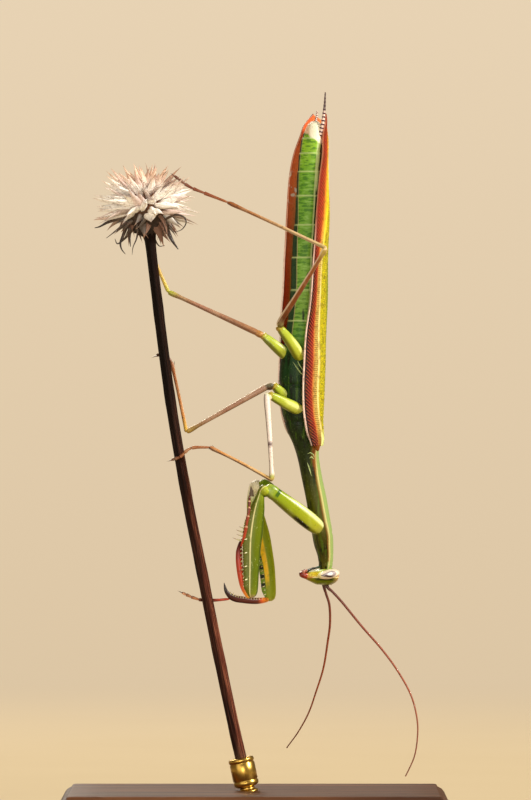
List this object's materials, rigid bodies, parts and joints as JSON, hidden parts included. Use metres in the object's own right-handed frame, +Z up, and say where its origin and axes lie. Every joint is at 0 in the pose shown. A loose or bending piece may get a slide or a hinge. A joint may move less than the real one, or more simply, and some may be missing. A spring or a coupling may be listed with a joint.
{
  "type": "praying mantis",
  "caption": "Life-size praying mantis holding on to a dry flower stalk, head down with folded forelegs and closed wings, on a small display stand.",
  "frame": {"origin": "middle of the stand base's underside", "axes": "+Z up; +X from the flower stalk towards the insect; -Y is the insect's right side and the side that faces the viewer"},
  "size_m": [0.048, 0.034, 0.0887],
  "materials": {
    "cuticle_green": "satin green cuticle, shaded from yellow green to dark green",
    "coxa_green": "satin bright yellow green cuticle",
    "leg_tan": "satin tan to brown cuticle",
    "tibia_red": "satin red brown cuticle with dark tips",
    "wing_membrane": "thin veined membrane, red brown with a yellow band",
    "hindwing_membrane": "thin smoky membrane with pale spots",
    "eye": "glossy pale compound eye",
    "antenna_brown": "matt ringed red brown",
    "stalk": "dry ridged dark brown stalk",
    "flower": "dry papery bracts, cream to grey brown",
    "base_wood": "oiled dark hardwood",
    "rod_brass": "satin brass"
  },
  "bodies": {
    "root": {"prothorax": "cuticle_green", "pterothorax": "cuticle_green", "abdomen": "cuticle_green", "cercus_right": "antenna_brown", "cercus_left": "antenna_brown", "head": "cuticle_green", "eye_right": "eye", "eye_left": "eye", "mouthparts": "tibia_red", "antenna_right_base": "antenna_brown", "antenna_right_tip": "antenna_brown", "antenna_left_base": "antenna_brown", "antenna_left_tip": "antenna_brown", "forewing_right": "wing_membrane", "forewing_left": "wing_membrane", "hindwing_right": "hindwing_membrane", "hindwing_left": "hindwing_membrane", "midleg_right_coxa": "coxa_green", "midleg_right_femur": "leg_tan", "midleg_right_tibia": "leg_tan", "midleg_right_tarsus": "leg_tan", "midleg_left_coxa": "coxa_green", "midleg_left_femur": "leg_tan", "midleg_left_tibia": "leg_tan", "midleg_left_tarsus": "leg_tan", "hindleg_right_coxa": "coxa_green", "hindleg_right_femur": "leg_tan", "hindleg_right_tibia": "leg_tan", "hindleg_right_tarsus": "leg_tan", "hindleg_left_coxa": "coxa_green", "hindleg_left_femur": "leg_tan", "hindleg_left_tibia": "leg_tan", "hindleg_left_tarsus": "leg_tan", "foreleg_right_coxa": "coxa_green", "foreleg_right_femur": "cuticle_green", "foreleg_right_tibia": "tibia_red", "foreleg_right_tarsus": "tibia_red", "foreleg_left_coxa": "coxa_green", "foreleg_left_femur": "cuticle_green", "foreleg_left_tibia": "tibia_red", "foreleg_left_tarsus": "tibia_red", "perch_stem": "stalk", "perch_flower_head": "flower", "stand_base": "base_wood", "stand_rod": "rod_brass"}
  },
  "joints": []
}
